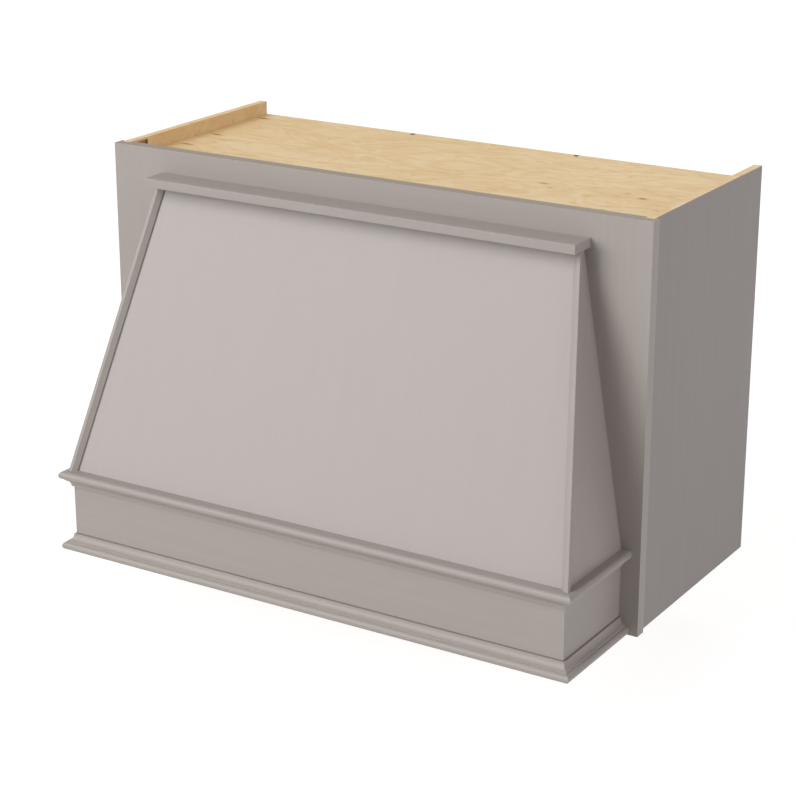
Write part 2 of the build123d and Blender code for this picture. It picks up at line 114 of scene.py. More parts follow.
# %% A pattern stretched along the board
NOISE_LOW, NOISE_HIGH = 0.3, 0.7  # nearly all of a noise's values lie between these


def grain_pattern(material, place, along, length, width, detail, distortion=0.0):
    """Noise whose spots are this long along the board and this wide across it."""
    scale = [1 / length if axis == along else 1 / width for axis in "XYZ"]
    squeezed = add_node(material, "Mapping", {}, {"Vector": place, "Scale": scale}).outputs[0]
    noise = {"Vector": squeezed, "Scale": 1.0, "Detail": detail, "Distortion": distortion}
    return add_node(material, "TexNoise", {}, noise).outputs["Fac"]


print("a noise's values lie mostly between", NOISE_LOW, "and", NOISE_HIGH)

# %% [markdown]
# ## Satin paint on smooth wood
# The outside is sprayed with a warm grey satin cabinet paint. Sprayed paint is never quite flat: it
# dries with a faint orange peel a couple of millimetres wide, and the wood's grain stands through it
# as long, very shallow ridges along each board. Both are bump, worked from their real heights, because
# as geometry they would need millions of faces. The tone wanders by a percent or so in long streaks,
# and so does the sheen. The frame's edges that face up get a darker, browner tone. Where the lower
# moulding's top meets the apron, a fine dark line of painted shade is drawn on the apron by height,
# because the gap that would throw that shade is too thin to model.
#
# The real cover may well be one colour all over. The sloped panel, the corner strips and the sides
# have tones of their own here because each was matched to its region of the photograph under this
# scene's lamps, so each of these tones is partly paint and partly painted light. The sides' tone is
# painted shade: it is a fifth darker than the frame's in linear light, mostly to take back what the
# white surroundings add to that side. Under other lamps, give the sides the frame's tone first.

# %% Tones and sizes of the paint
PAINT_TONES = (linear("ABA39D"), linear("A9A19B"))
# The panel's and the strips' own tones are partly painted light, matched under these lamps.
PANEL_TONES = (linear("B1A9A5"), linear("B0A8A4"))
STRIP_TONES = (linear("A8A09A"), linear("A69E98"))
# The sides' darker tone is painted shade.
SIDE_SHADED_PAINT_TONES = (linear("9A938E"), linear("98918C"))
# A darker, browner tone for the frame's edges that face up.
DARK_TOP_EDGE_PAINT_TONES = (linear("968879"), linear("928370"))
# Each pattern's length along the grain and width across it.
STREAK_SIZE = (260 * MM, 7 * MM)
RIDGE_SIZE, RIDGE_HEIGHT = (60 * MM, 1.4 * MM), 0.012 * MM
PEEL_SIZE, PEEL_HEIGHT = (2.2 * MM, 2.2 * MM), 0.006 * MM
STREAK_FROM, STREAK_TO = 0.35, 0.65
SATIN_SMOOTH, SATIN_DULL = 0.43, 0.45
# Painted shade: a fine dark line on the apron just above the lower moulding's top.
CREASE_SHADE_TONE = linear("7C746D")
CREASE_SHADE_SOLID, CREASE_SHADE_WIDTH = 0.6 * MM, 1.8 * MM
MOULDING_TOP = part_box("lower_moulding_front")[1].z
print("dark line from", round(MOULDING_TOP, 4), "to", round(MOULDING_TOP + CREASE_SHADE_WIDTH, 4))


# %% Satin paint
def satin_paint(name, along, tones, lean=0.0, shade_crease=None):
    # Two-part satin cabinet paint, sprayed: a soft, wide highlight with no grit. lean turns the pattern
    # upright for a leaning board, and shade_crease is the height of a fine line of painted shade, if
    # any.
    material = new_material(name)
    place = add_node(material, "TexCoord").outputs["Object"]
    if lean:
        upright = {"Vector": place, "Angle": lean}
        place = add_node(material, "VectorRotate", {"rotation_type": "X_AXIS"}, upright).outputs[0]
    streaks = grain_pattern(material, place, along, *STREAK_SIZE, detail=2.0)
    spread = {"Value": streaks, "From Min": STREAK_FROM, "From Max": STREAK_TO}
    share = add_node(material, "MapRange", {}, spread).outputs[0]
    tone = add_node(material, "Mix", COLOUR_MIX, {0: share, 6: tones[0], 7: tones[1]}).outputs[2]
    if shade_crease is not None:
        height = add_node(material, "SeparateXYZ", {}, {"Vector": place}).outputs["Z"]
        band = {"Value": height, "From Min": shade_crease + CREASE_SHADE_SOLID, "From Max": shade_crease + CREASE_SHADE_WIDTH}
        line = add_node(material, "MapRange", {}, band | {"To Min": 1.0, "To Max": 0.0}).outputs[0]
        tone = add_node(material, "Mix", COLOUR_MIX, {0: line, 6: tone, 7: CREASE_SHADE_TONE}).outputs[2]
    spread = {"Value": streaks, "From Min": NOISE_LOW, "From Max": NOISE_HIGH}
    limits = {"To Min": SATIN_SMOOTH, "To Max": SATIN_DULL}
    sheen = add_node(material, "MapRange", {}, spread | limits).outputs[0]
    grain = grain_pattern(material, place, along, *RIDGE_SIZE, detail=3.0)
    peel = grain_pattern(material, place, along, *PEEL_SIZE, detail=1.0)
    ridges = {"Height": grain, "Strength": 1.0, "Distance": RIDGE_HEIGHT}
    ridged = add_node(material, "Bump", {}, ridges).outputs[0]
    skin = {"Height": peel, "Strength": 1.0, "Distance": PEEL_HEIGHT, "Normal": ridged}
    surface = add_node(material, "Bump", {}, skin).outputs[0]
    finish = {
        "Base Color": tone,
        "Roughness": sheen,
        "IOR": 1.5,
        "Specular IOR Level": 0.3,
        "Normal": surface,
    }
    shader = add_node(material, "BsdfPrincipled", {}, finish)
    add_node(material, "OutputMaterial", {}, {"Surface": shader.outputs[0]})
    return material


print("grain ridges in the paint are", round(RIDGE_HEIGHT / MM, 3), "mm high")

# %% [markdown]
# ## One paint for each direction
# Each board gets the paint with the grain along its own length. The sloped panel leans back, so its
# pattern is turned by the same angle first; otherwise its streaks would be cut through at a slant and
# show as blotches. The panel's own largest face gives the angle.

# %% Paints for the boards
slope = max(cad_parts["sloped_panel"].data.polygons, key=lambda face: face.area).normal
PANEL_FACES = Vector((0, -abs(slope.y), abs(slope.z)))
PANEL_LEAN = math.atan2(PANEL_FACES.z, -PANEL_FACES.y)
PAINT = {along: satin_paint(f"satin_paint_grain_{along.lower()}", along, PAINT_TONES) for along in "XYZ"}
PANEL_PAINT = satin_paint("satin_paint_sloped_panel", "Z", PANEL_TONES, PANEL_LEAN)
# The apron's paint carries that fine line of painted shade above the lower moulding.
APRON_PAINT_WITH_CREASE_SHADE = {
    along: satin_paint(f"satin_paint_apron_crease_shade_{along.lower()}", along, PAINT_TONES, shade_crease=MOULDING_TOP)
    for along in "XY"
}
STRIP_PAINT = satin_paint("satin_paint_corner_strips", "Z", STRIP_TONES, PANEL_LEAN)
SIDE_SHADED_PAINT = satin_paint("satin_paint_sides_shaded", "Z", SIDE_SHADED_PAINT_TONES)
DARK_TOP_EDGE_PAINT = satin_paint("satin_paint_dark_top_edge", "X", DARK_TOP_EDGE_PAINT_TONES)
print("paints:", [m.name for m in PAINT.values()], "panel leans", round(math.degrees(PANEL_LEAN), 1))

# %% [markdown]
# ## Bare maple under a clear coat
# The top, the insides and the framing are maple, left bare under a clear satin coat. Maple is pale
# cream with soft honey mottling, short orange flecks and hair-fine fibres along the grain. The sides'
# inner veneer is plainer than the top, with deeper tones as painted shade. Cuts across the grain,
# such as the ends of the sticks, drink the coat and dry brown; the recess in the sides gets that brown
# as painted shade. Knots are listed one by one, because there are only a few and the eye goes to them.

# %% Maple tones and knots
TOP_TONES = (linear("FADFB0"), linear("EECA90"), linear("DDA566"))
# Deeper tones for the sides' inner veneer, as painted shade.
SIDE_VENEER_SHADE_TONES = (linear("F2D6A6"), linear("E8C48F"), linear("D8A66F"))
# Brown end grain, also used as painted shade in the recess in the sides.
END_GRAIN_AND_SHADE_TONES = (linear("AC9472"), linear("A08864"), linear("947A58"))
KNOT_HALO, KNOT_HEART = linear("C98F5C"), linear("6F4A2C")
# Each knot's place from the middle of the wall edge, its length and width, and how dark it is.
TOP_KNOTS = [
    (-413 * MM, -256 * MM, 16 * MM, 4.0 * MM, 0.9),
    (-414 * MM, -175 * MM, 15 * MM, 4.0 * MM, 0.9),
    (-422 * MM, -34 * MM, 18 * MM, 4.0 * MM, 0.9),
    (190 * MM, -191 * MM, 12 * MM, 5.0 * MM, 0.5),
    (211 * MM, -210 * MM, 8 * MM, 4.0 * MM, 0.3),
    (323 * MM, -183 * MM, 8 * MM, 4.0 * MM, 0.35),
    (354 * MM, -200 * MM, 10 * MM, 6.0 * MM, 0.7),
    (334 * MM, -288 * MM, 9 * MM, 4.0 * MM, 0.45),
    (401 * MM, -252 * MM, 8 * MM, 4.0 * MM, 0.3),
]
print("knots in the top:", len(TOP_KNOTS))

# %% [markdown]
# ## Contours and knots
# Veneer that is peeled from the log shows faint wandering contours, like a map's. They are drawn as
# the level lines of one smooth field: a noise stretched along the grain, put through a sine. A ring
# texture would make them too regular. A knot raises the field, so the lines flow round it by
# themselves. The knot is an oval with a small dark heart and a reddish halo, and distances from it are
# counted in its own half-widths, so that one set of numbers fits knots of every size.

# %% Knots in the contour field
SMOOTH = {"interpolation_type": "SMOOTHSTEP"}
KNOT_REACH, KNOT_LIFT = 5.0, 0.25
HALO_INNER, HALO_OUTER, HALO_STRENGTH = 0.8, 2.6, 0.8
HEART_INNER, HEART_OUTER = 0.6, 1.3


def draw_knots(material, place, field, knots):
    """Returns the field raised round each knot, and the shares of halo and of heart."""
    halo = heart = 0.0
    for x, y, length, width, dark in knots:
        away = add_node(material, "VectorMath", {"operation": "SUBTRACT"}, {0: place, 1: (x, y, 0.0)})
        squeeze = {0: away.outputs[0], 1: (2 / length, 2 / width, 0.0)}
        oval = add_node(material, "VectorMath", {"operation": "MULTIPLY"}, squeeze).outputs[0]
        far = add_node(material, "VectorMath", {"operation": "LENGTH"}, {0: oval}).outputs["Value"]
        rise = {"Value": far, "From Min": 0.0, "From Max": KNOT_REACH}
        rise |= {"To Min": KNOT_LIFT, "To Max": 0.0}
        lift = add_node(material, "MapRange", SMOOTH, rise).outputs[0]
        field = add_node(material, "Math", {"operation": "ADD"}, {0: field, 1: lift}).outputs[0]
        fade = {"Value": far, "From Min": HALO_INNER, "From Max": HALO_OUTER}
        fade |= {"To Min": HALO_STRENGTH * dark, "To Max": 0.0}
        ring = add_node(material, "MapRange", SMOOTH, fade).outputs[0]
        halo = add_node(material, "Math", {"operation": "MAXIMUM"}, {0: halo, 1: ring}).outputs[0]
        fade = {"Value": far, "From Min": HEART_INNER, "From Max": HEART_OUTER}
        fade |= {"To Min": dark, "To Max": 0.0}
        core = add_node(material, "MapRange", SMOOTH, fade).outputs[0]
        heart = add_node(material, "Math", {"operation": "MAXIMUM"}, {0: heart, 1: core}).outputs[0]
    return field, halo, heart


print("a knot bends the contours up to", KNOT_REACH, "half-widths away")

# %% [markdown]
# ## The veneer itself
# Four layers are added up: soft mottling, broad shading, fine fibres and the contours. Their sum runs
# the tone from pale to honey. Flecks and knots are laid over that. The fibres are also a very shallow
# bump, because a thin clear coat doesn't fill the pores.

# %% Maple veneer
# Each pattern's length along the grain and width across it.
FIELD_SIZE, MOTTLE_SIZE, BROAD_SIZE = (240 * MM, 110 * MM), (60 * MM, 30 * MM), (350 * MM, 160 * MM)
FIBRE_SIZE, FLECK_SIZE = (22 * MM, 1.6 * MM), (18 * MM, 9 * MM)
CONTOUR_TURNS = 75.0
LAYER_WEIGHTS = {"mottle": 0.8, "broad": 0.4, "fibres": 0.4, "contours": 0.1}
HONEY_FROM, HONEY_TO = 0.57, 1.03
FLECK_FROM, FLECK_TO, FLECK_STRENGTH = 0.56, 0.76, 0.45
PORE_DEPTH = 0.03 * MM


def maple(name, along, tones, knots=()):
    # Peeled maple veneer with a clear satin lacquer: soft sheen, warm and pale.
    material = new_material(name)
    pale, honey, fleck = tones
    place = add_node(material, "TexCoord").outputs["Object"]
    field = grain_pattern(material, place, along, *FIELD_SIZE, detail=1.5, distortion=0.8)
    field, halo, heart = draw_knots(material, place, field, knots)
    turns = add_node(material, "Math", {"operation": "MULTIPLY"}, {0: field, 1: CONTOUR_TURNS})
    layers = {
        "mottle": grain_pattern(material, place, along, *MOTTLE_SIZE, detail=3.0, distortion=0.8),
        "broad": grain_pattern(material, place, along, *BROAD_SIZE, detail=1.0),
        "fibres": grain_pattern(material, place, along, *FIBRE_SIZE, detail=3.0),
        "contours": add_node(material, "Math", {"operation": "SINE"}, {0: turns.outputs[0]}).outputs[0],
    }
    depth = 0.0
    for layer, weight in LAYER_WEIGHTS.items():
        total = {0: layers[layer], 1: weight, 2: depth}
        depth = add_node(material, "Math", {"operation": "MULTIPLY_ADD"}, total).outputs[0]
    run = {"Value": depth, "From Min": HONEY_FROM, "From Max": HONEY_TO}
    share = add_node(material, "MapRange", {}, run).outputs[0]
    wood = add_node(material, "Mix", COLOUR_MIX, {0: share, 6: pale, 7: honey}).outputs[2]
    spots = grain_pattern(material, place, along, *FLECK_SIZE, detail=3.0, distortion=0.5)
    dots = {"Value": spots, "From Min": FLECK_FROM, "From Max": FLECK_TO}
    dots |= {"To Min": 0.0, "To Max": FLECK_STRENGTH}
    share = add_node(material, "MapRange", SMOOTH, dots).outputs[0]
    wood = add_node(material, "Mix", COLOUR_MIX, {0: share, 6: wood, 7: fleck}).outputs[2]
    if knots:
        wood = add_node(material, "Mix", COLOUR_MIX, {0: halo, 6: wood, 7: KNOT_HALO}).outputs[2]
        wood = add_node(material, "Mix", COLOUR_MIX, {0: heart, 6: wood, 7: KNOT_HEART}).outputs[2]
    pores = {"Height": layers["fibres"], "Strength": 1.0, "Distance": PORE_DEPTH}
    surface = add_node(material, "Bump", {}, pores).outputs[0]
    finish = {"Base Color": wood, "Roughness": 0.55, "Specular IOR Level": 0.3, "Normal": surface}
    shader = add_node(material, "BsdfPrincipled", {}, finish)
    add_node(material, "OutputMaterial", {}, {"Surface": shader.outputs[0]})
    return material


print("layers of figure in the maple:", list(LAYER_WEIGHTS))

# %% Maples for the boards
MAPLE = {along: maple(f"bare_maple_grain_{along.lower()}", along, TOP_TONES) for along in "XYZ"}
MAPLE_TOP = maple("bare_maple_top_with_knots", "X", TOP_TONES, TOP_KNOTS)
MAPLE_SIDE_SHADED = maple("bare_maple_side_veneer_shaded", "Y", SIDE_VENEER_SHADE_TONES)
MAPLE_END_GRAIN_AND_RECESS_SHADE = maple("bare_maple_end_grain_and_recess_shade", "X", END_GRAIN_AND_SHADE_TONES)
print("maples:", [m.name for m in (*MAPLE.values(), MAPLE_TOP, MAPLE_SIDE_SHADED, MAPLE_END_GRAIN_AND_RECESS_SHADE)])

# %% [markdown]
# ## Screws and dowels
# The screws inside are zinc-plated steel, a cool grey metal with a soft, slightly cloudy shine. The
# two in the top are the black kind, phosphated and oiled, which shows almost no shine, and their bores
# are painted nearly black as painted shade. The dowels are turned beech, plain and a little redder than
# the maple.
# Their CAD shapes are right as they are, so the nodes stay and only get these materials.

# %% Steel, beech and painted bore shade
CLOUD_SIZE = 1.5 * MM


def screw_steel(name, colour, metallic, smooth, dull):
    # A plated or phosphated skin on steel: even colour, with a fine cloudiness in its roughness.
    material = new_material(name)
    place = add_node(material, "TexCoord").outputs["Object"]
    cloud = grain_pattern(material, place, "X", CLOUD_SIZE, CLOUD_SIZE, detail=2.0)
    spread = {"Value": cloud, "From Min": NOISE_LOW, "From Max": NOISE_HIGH}
    sheen = add_node(material, "MapRange", {}, spread | {"To Min": smooth, "To Max": dull}).outputs[0]
    finish = {"Base Color": linear(colour), "Metallic": metallic, "Roughness": sheen}
    shader = add_node(material, "BsdfPrincipled", {}, finish)
    add_node(material, "OutputMaterial", {}, {"Surface": shader.outputs[0]})
    return material


def flecked_wood(name, ground, fleck, length, width, roughness):
    # Wood too small to show any figure: one ground colour, with short flecks along the grain.
    material = new_material(name)
    place = add_node(material, "TexCoord").outputs["Object"]
    flecks = grain_pattern(material, place, "X", length, width, detail=2.0)
    mix = {0: flecks, 6: linear(ground), 7: linear(fleck)}
    wood = add_node(material, "Mix", COLOUR_MIX, mix).outputs[2]
    shader = add_node(material, "BsdfPrincipled", {}, {"Base Color": wood, "Roughness": roughness})
    add_node(material, "OutputMaterial", {}, {"Surface": shader.outputs[0]})
    return material


# Zinc plating: cool and bright, with a soft, cloudy shine.
ZINC = screw_steel("zinc_plated_steel", "B4B6B8", metallic=1.0, smooth=0.25, dull=0.42)
# Phosphated and oiled: nearly black, with almost no shine.
BLACK_STEEL = screw_steel("black_phosphated_steel", "2E2B29", metallic=0.4, smooth=0.5, dull=0.62)
# Turned beech: plain and pale, with small darker flecks.
BEECH = flecked_wood("turned_beech", "D9B384", "BE9060", 6 * MM, 0.8 * MM, roughness=0.6)
# Painted shade for the screw bores in the top: nearly black and dull, with paler fibres showing through.
BORE_SHADE = flecked_wood("painted_shade_maple_bore", "2A201A", "4A3829", 3 * MM, 1.0 * MM, roughness=0.85)
FASTENERS = {
    "ledge_screws": ZINC,
    "gusset_screws": ZINC,
    "apron_screws": ZINC,
    "top_screws": BLACK_STEEL,
    "cleat_screws": ZINC,
    "rail_dowels": BEECH,
}
for name, material in FASTENERS.items():
    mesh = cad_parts[name].data
    mesh.materials.clear()
    mesh.materials.append(material)
print("fasteners use", ZINC.name, BLACK_STEEL.name, "and", BEECH.name)

# %% [markdown]
# ## Boards with eased edges
# A sanded and painted board has no knife edges: they are eased by about half a millimetre, and that
# thin round is what catches the light. A Bevel modifier on the whole board would also open a groove
# at every glued joint, where the paint runs across unbroken. So each board is a copy of its CAD node,
# with its loose triangles merged into whole faces, and only the edges that lie on none of its joint
# planes are bevelled.

# %% Ease a board's free edges
MERGE_WITHIN = 0.005 * MM
ON_PLANE = 0.05 * MM
FLAT_ANGLE = math.radians(0.5)
SHARP_ANGLE = math.radians(50)


def on_any(edge, planes):
    """Whether an edge lies on one of the planes, each given by a normal and a distance."""
    return any(
        all(abs(Vector(normal).normalized().dot(v.co) - distance) < ON_PLANE for v in edge.verts)
        for normal, distance in planes
    )


def eased_shell(name, ease, joints, sharp_angle):
    """A merged copy of a CAD node with its sharp edges rounded, apart from those on joint planes."""
    shell = bmesh.new()
    shell.from_mesh(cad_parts[name].data)
    bmesh.ops.remove_doubles(shell, verts=shell.verts, dist=MERGE_WITHIN)
    bmesh.ops.dissolve_limit(
        shell,
        angle_limit=FLAT_ANGLE,
        use_dissolve_boundaries=False,
        verts=shell.verts,
        edges=shell.edges,
    )
    if ease:
        sharp = [
            edge
            for edge in shell.edges
            if edge.is_manifold and edge.calc_face_angle() > sharp_angle and not on_any(edge, joints)
        ]
        bmesh.ops.bevel(
            shell,
            geom=sharp,
            offset=ease,
            offset_type="OFFSET",
            affect="EDGES",
            segments=2,
            profile=0.5,
            material=-1,
            clamp_overlap=True,
        )
    return shell


print("edges sharper than", round(math.degrees(SHARP_ANGLE)), "degrees are eased")

# %% [markdown]
# ## A finish for each face
# One board can carry paint outside and bare wood inside, so a board is given a small rule that names
# the material of a face from the way it looks and from where it is. Faces are shaded smooth across the
# eased edges and kept flat elsewhere by marking the sharp edges and weighting the normals by area. The
# finished board then stands for its CAD node.

# %% A finished board
def board(name, finish_of, ease=0.0, joints=(), sharp_angle=SHARP_ANGLE):
    """finish_of gives a face's material from its normal and middle; joints are planes whose edges
    stay sharp."""
    shell = eased_shell(name, ease, joints, sharp_angle)
    used = []
    for face in shell.faces:
        face.smooth = True
        finish = finish_of(face.normal, face.calc_center_median())
        if finish not in used:
            used.append(finish)
        face.material_index = used.index(finish)
    for edge in shell.edges:
        edge.smooth = edge.is_manifold and edge.calc_face_angle() < sharp_angle
    mesh = bpy.data.meshes.new(name + "_board")
    shell.to_mesh(mesh)
    shell.free()
    # The CAD node's stored normals don't fit the new faces.
    if "custom_normal" in mesh.attributes:
        mesh.attributes.remove(mesh.attributes["custom_normal"])
    for finish in used:
        mesh.materials.append(finish)
    piece = bpy.data.objects.new(name + "_board", mesh)
    bpy.context.scene.collection.objects.link(piece)
    piece.modifiers.new("even shading", "WEIGHTED_NORMAL").keep_sharp = True
    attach(piece, "root")
    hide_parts(name)


# A normal's share along a direction, from which a face counts as facing that way.
FACING = 0.9
FACING_INWARD = 0.7


def all_over(material):
    """One finish on every face."""
    return lambda normal, middle: material


def darker_on_top(paint):
    """Paint, but a darker, browner tone on the edge that faces up."""
    return lambda normal, middle: DARK_TOP_EDGE_PAINT if normal.z > FACING else paint


def painted_outside(paint, bare, inward):
    """Paint, but bare wood on the faces that look inward."""
    inward = Vector(inward)
    return lambda normal, middle: bare if normal.dot(inward) > FACING_INWARD else paint


def end_grain_at_ends(wood):
    """Brown end grain on an upright piece's two ends."""
    return lambda normal, middle: MAPLE_END_GRAIN_AND_RECESS_SHADE if abs(normal.z) > FACING else wood


print("boards to finish:", len(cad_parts) - len(FASTENERS))

# %% [markdown]
# ## Joint planes
# Paint bridges every glued joint, so the edges there stay closed. The joints all lie on a few planes:
# the shoulders between stiles and rail, the front of the frame, the top of the apron, the underside of
# the ledge and the two mitres. Each is read from the CAD boxes, and so follows the real sizes.

# %% Where the boards meet
RAIL_END, FRAME_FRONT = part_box("stile_right")[0].xy
LEDGE_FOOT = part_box("ledge")[0].z
apron_low, apron_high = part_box("apron_front")
MITRE_REACH = (apron_high.x + apron_low.y) / math.sqrt(2)
on_frame = ((0, 1, 0), FRAME_FRONT)
on_apron = ((0, 0, 1), apron_high.z)
under_ledge = ((0, 0, 1), LEDGE_FOOT)
mitres = {"left": ((-1, 1, 0), MITRE_REACH), "right": ((1, 1, 0), MITRE_REACH)}
shoulders = {"left": ((1, 0, 0), -RAIL_END), "right": ((1, 0, 0), RAIL_END)}
print("frame front at y =", round(FRAME_FRONT, 5), "and apron top at z =", round(apron_high.z, 5))

# %% [markdown]
# ## The face frame, gussets and ledge
# These boards are painted all round. The gussets keep their sharp edges, because the panel and the
# corner strips cover them. The corner strips are thin trim with one shallow chamfer. Its angle is far
# below that of a square edge, so they count as sharp every edge over 15 degrees, or the chamfer would
# be shaded away.

# %% Face frame, gussets and ledge
EASE = 0.7 * MM
STRIP_EASE = 0.5 * MM
CHAMFER_ANGLE = math.radians(15)
for side, shoulder in shoulders.items():
    board(f"stile_{side}", darker_on_top(PAINT["Z"]), EASE, [shoulder])
    board(f"gusset_{side}", all_over(PAINT["Z"]))
    strip, strip_joints = f"corner_strip_{side}", [on_apron, under_ledge]
    board(strip, all_over(STRIP_PAINT), STRIP_EASE, strip_joints, CHAMFER_ANGLE)
board("top_rail", darker_on_top(PAINT["X"]), EASE, list(shoulders.values()))
board("ledge", all_over(PAINT["X"]), EASE, [on_frame])
print("eased by", round(EASE / MM, 2), "mm, and the strips by", round(STRIP_EASE / MM, 2), "mm")

# %% [markdown]
# ## The sloped panel and the apron
# The inside isn't seen, and a hood like this is usually left bare there, so these boards are painted
# outside and bare maple inside. The inner faces are told by their direction: the panel's looks back
# and down, and the apron's look towards the middle of the opening.

# %% Sloped panel and apron
board("sloped_panel", painted_outside(PANEL_PAINT, MAPLE["Z"], -PANEL_FACES))
front_finish = painted_outside(APRON_PAINT_WITH_CREASE_SHADE["X"], MAPLE["X"], (0, 1, 0))
board("apron_front", front_finish, EASE, [on_apron, *mitres.values()])
for side, sign in (("left", -1), ("right", 1)):
    side_paint = painted_outside(APRON_PAINT_WITH_CREASE_SHADE["Y"], MAPLE["Y"], (-sign, 0, 0))
    board(f"apron_{side}", side_paint, EASE, [on_apron, on_frame, mitres[side]])
print("the panel's bare face looks along", [round(v, 2) for v in -PANEL_FACES])

# %% [markdown]
# ## Mouldings
# The same milled moulding runs round the foot and the head of the apron, nose down below and nose up
# above, mitred at the corners. A milled profile has crisper arrises than a sanded board, so they are
# eased by less.

# %% Painted mouldings
MOULDING_EASE = 0.25 * MM
for level in ("lower", "upper"):
    run, joints = f"{level}_moulding_front", [on_apron, *mitres.values()]
    board(run, all_over(PAINT["X"]), MOULDING_EASE, joints)
    for side, mitre in mitres.items():
        run, joints = f"{level}_moulding_{side}", [on_apron, on_frame, mitre]
        board(run, all_over(PAINT["Y"]), MOULDING_EASE, joints)
print("mouldings eased by", round(MOULDING_EASE / MM, 2), "mm")

# %% [markdown]
# ## Sides
# A side is painted on its outer face only. Its inner face is plain veneer and its edges are pale solid
# maple. The floor and walls of the stopped recess for the corner block get the brown end-grain maple
# as painted shade. A face is told by the way it looks and by how far it is from the middle of the
# cabinet.

# %% Sides
SIDE_EASE = 0.3 * MM
SIDE_INNER, SIDE_OUTER = (corner.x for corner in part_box("side_right"))
RECESS_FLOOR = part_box("corner_block_right")[1].x


def side_finish(normal, middle):
    """Paint on the outer face, plain veneer on the inner one, pale edges and painted shade in the
    recess.
    """
    # Painted shade: the recess floor and walls get the brown end-grain maple.
    if SIDE_INNER + ON_PLANE < abs(middle.x) < RECESS_FLOOR + ON_PLANE:
        return MAPLE_END_GRAIN_AND_RECESS_SHADE
    if abs(normal.x) < FACING:
        return MAPLE["Y"]
    return SIDE_SHADED_PAINT if abs(middle.x) > SIDE_OUTER - ON_PLANE else MAPLE_SIDE_SHADED


for side in ("left", "right"):
    board(f"side_{side}", side_finish, SIDE_EASE)
print("recess in the sides:", round((RECESS_FLOOR - SIDE_INNER) / MM, 1), "mm deep")

# %% [markdown]
# ## Top
# The top panel is the knotty veneer. Two black screws near its back edge hold it down to the hanging
# rail, sunk in counterbores whose walls are painted dark as painted shade. A face is a bore's when it
# lies below the top and within a screw head's radius of a screw, plus half a millimetre of clearance.

# %% Top panel
TOP_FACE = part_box("top_panel")[1].z
screws_low, screws_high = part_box("top_screws")
HEAD_RADIUS = (screws_high.y - screws_low.y) / 2
BORE_X = screws_high.x - HEAD_RADIUS
BORE_Y = (screws_low.y + screws_high.y) / 2
BORE_REACH = HEAD_RADIUS + 0.5 * MM


def top_finish(normal, middle):
    """Knotty maple, with the two screws' bores painted dark as painted shade."""
    off_centre = math.hypot(abs(middle.x) - BORE_X, middle.y - BORE_Y)
    return BORE_SHADE if off_centre < BORE_REACH and middle.z < TOP_FACE - ON_PLANE else MAPLE_TOP


board("top_panel", top_finish)
print("top screws at x = +/-", round(BORE_X, 3), "and y =", round(BORE_Y, 4))

# %% [markdown]
# ## Framing inside
# Rails, blocks, ribs and cleats are plain sticks of solid maple, so each needs only its grain's
# direction. The upright ones show brown end grain at their ends.

# %% Framing
FRAMING_EASE = 0.4 * MM
FRAMING = {
    "hanging_rail_top": "X",
    "hanging_rail_bottom": "X",
    "corner_block_left": "Z",
    "corner_block_right": "Z",
    "panel_rib_left": "Z",
    "panel_rib_right": "Z",
    "apron_rail": "X",
    "apron_block_left": "Z",
    "apron_block_right": "Z",
    "gusset_cleat_left": "Z",
    "gusset_cleat_right": "Z",
    "liner_cleat_left": "Y",
    "liner_cleat_right": "Y",
    "liner_cleat_apron": "X",
}
for name, along in FRAMING.items():
    stick = end_grain_at_ends(MAPLE["Z"]) if along == "Z" else all_over(MAPLE[along])
    board(name, stick, FRAMING_EASE)
print("framing pieces:", len(FRAMING))

# %% [markdown]
# ## Floor and background
# A product shot on white: the floor and the world look plain white, but they don't throw that much
# light on the wood. Brighter lamps would get the same white and burn out the paint. Light Path tells
# the two uses apart instead: what the camera sees, itself or in gloss or glass, is white, and what
# only lights the object is dimmer. The floor keeps part of its real shading, so the object still
# throws a soft shadow on it. The object hangs on a wall, so the floor is a little way below it, and
# some light reaches its underside. From below the floor is clear, so that the underside can be seen.

# %% White floor
WHITE, FLOOR_BOUNCE, FLOOR_SHADE = linear("FFFFFF"), linear("E7E7E7"), linear("959595")
# Added to the lamps' light on the grey shade, this passes white in the open and not in the shadow.
FLOOR_GLOW = 0.88
HANGING_HEIGHT = 100 * MM
FLOOR_HALF = 12.0


def looked_at(material):
    """1 where the camera sees a thing itself or in gloss or glass, and 0 where it only gives light."""
    rays = add_node(material, "LightPath").outputs
    gloss = {0: rays["Is Camera Ray"], 1: rays["Is Glossy Ray"]}
    seen = add_node(material, "Math", {"operation": "MAXIMUM"}, gloss).outputs[0]
    glass = {0: seen, 1: rays["Is Transmission Ray"]}
    return add_node(material, "Math", {"operation": "MAXIMUM"}, glass).outputs[0]


def white_floor():
    # Matt white studio paper: bounces light as paper does, and looks evenly white.
    material = new_material("white_studio_floor")
    bounce = add_node(material, "BsdfDiffuse", {}, {"Color": FLOOR_BOUNCE}).outputs[0]
    shade = add_node(material, "BsdfDiffuse", {}, {"Color": FLOOR_SHADE}).outputs[0]
    glow = add_node(material, "Emission", {}, {"Color": WHITE, "Strength": FLOOR_GLOW}).outputs[0]
    seen = add_node(material, "AddShader", {}, {0: shade, 1: glow}).outputs[0]
    look = add_node(material, "MixShader", {}, {0: looked_at(material), 1: bounce, 2: seen}).outputs[0]
    under = add_node(material, "NewGeometry").outputs["Backfacing"]
    clear = add_node(material, "BsdfTransparent").outputs[0]
    both = add_node(material, "MixShader", {}, {0: under, 1: look, 2: clear}).outputs[0]
    add_node(material, "OutputMaterial", {}, {"Surface": both})
    return material


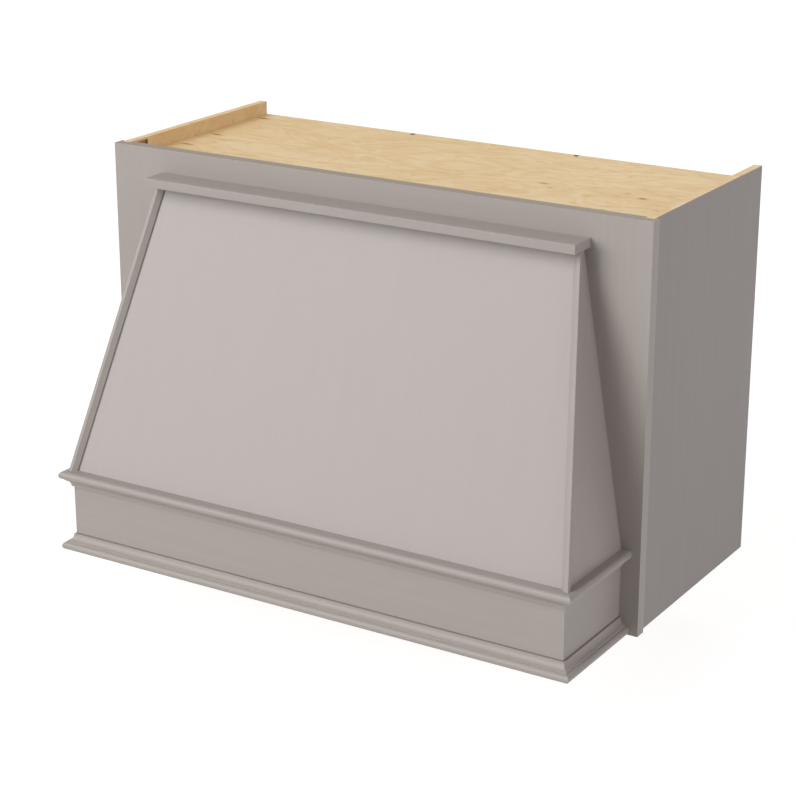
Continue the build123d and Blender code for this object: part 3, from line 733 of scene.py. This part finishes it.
sheet = bmesh.new()
bmesh.ops.create_grid(sheet, x_segments=1, y_segments=1, size=FLOOR_HALF)
bmesh.ops.translate(sheet, verts=sheet.verts, vec=(0, 0, cad_box[0].z - HANGING_HEIGHT))
floor_mesh = bpy.data.meshes.new("studio_floor")
sheet.to_mesh(floor_mesh)
sheet.free()
floor_mesh.materials.append(white_floor())
floor = bpy.data.objects.new("studio_floor", floor_mesh)
bpy.context.scene.collection.objects.link(floor)
print("floor at z =", round(cad_box[0].z - HANGING_HEIGHT, 3))

# %% White world
WORLD_LEVEL = 0.18
world = bpy.data.worlds.new("studio_white")
bpy.context.scene.world = world
world.use_nodes = True
world.node_tree.nodes.clear()
levels = {"Value": looked_at(world), "To Min": WORLD_LEVEL, "To Max": 1.0}
strength = add_node(world, "MapRange", {}, levels).outputs[0]
air = add_node(world, "Background", {}, {"Color": WHITE, "Strength": strength}).outputs[0]
add_node(world, "OutputWorld", {}, {"Surface": air})
print("the world lights the object with", WORLD_LEVEL, "of white")

# %% [markdown]
# ## Light
# The light comes mostly from a tall soft box in front and to the left, with a weaker one beside it, so
# the hood's right side and the frame behind it fall into soft shadow. A box on the right opens that
# shadow, and a faint one behind keeps the back readable. A lamp's power has to grow with the square of
# its distance. So each box is given the level that it should reach on a face that looks straight at
# it, where 1 would show a colour just as it is written, and its power is worked out from that.

# %% Soft boxes
CENTRE = (cad_box[0] + cad_box[1]) / 2


def soft_box(name, azimuth, elevation, distance, size, level, tint="FFFFFF"):
    """level is how bright the box makes a surface that faces it, as a share of its own colour."""
    a, e = math.radians(azimuth), math.radians(elevation)
    away = Vector((math.sin(a) * math.cos(e), -math.cos(a) * math.cos(e), math.sin(e)))
    lamp = bpy.data.lights.new(name, "AREA")
    lamp.shape = "RECTANGLE"
    lamp.size, lamp.size_y = size
    lamp.energy = level * (math.pi * distance) ** 2
    lamp.color = linear(tint)[:3]
    stand = bpy.data.objects.new(name, lamp)
    stand.location = CENTRE + away * distance
    stand.rotation_euler = (-away).to_track_quat("-Z", "Y").to_euler()
    bpy.context.scene.collection.objects.link(stand)


soft_box("key_box", azimuth=-30, elevation=28, distance=12.0, size=(5.8, 10.0), level=0.715)
soft_box("side_box", azimuth=-50, elevation=25, distance=12.0, size=(5.8, 10.0), level=0.18)
soft_box("fill_box", azimuth=85, elevation=20, distance=8.0, size=(3.0, 3.0), level=0.23, tint="FFFAFF")
soft_box("back_box", azimuth=180, elevation=40, distance=6.0, size=(3.0, 3.0), level=0.18)

# %% [markdown]
# ## Camera
# The photograph looks at the object from about 30 degrees to its right and 19 degrees above, with a
# long lens from a little over three metres. It was taken level, with the lens shifted down, which keeps
# the uprights parallel. A shift that large would push the object out of every other view, so this
# camera is tilted down instead, and the uprights converge slightly.

# %% Camera
LENS, SENSOR = 98.3, 36.0  # both in millimetres
TILT_DOWN, TURN_LEFT = math.radians(19.25), math.radians(31.82)
camera_data = bpy.data.cameras.new("product_camera")
camera_data.lens = LENS
camera_data.sensor_width = SENSOR
camera = bpy.data.objects.new("product_camera", camera_data)
camera.location = (1.646, -2.944, 1.341)
camera.rotation_euler = (math.pi / 2 - TILT_DOWN, 0, TURN_LEFT)
bpy.context.scene.collection.objects.link(camera)
bpy.context.scene.camera = camera
bpy.context.scene.view_settings.view_transform = "Standard"
print("camera", round((camera.location - CENTRE).length, 2), "m from the middle of the object")
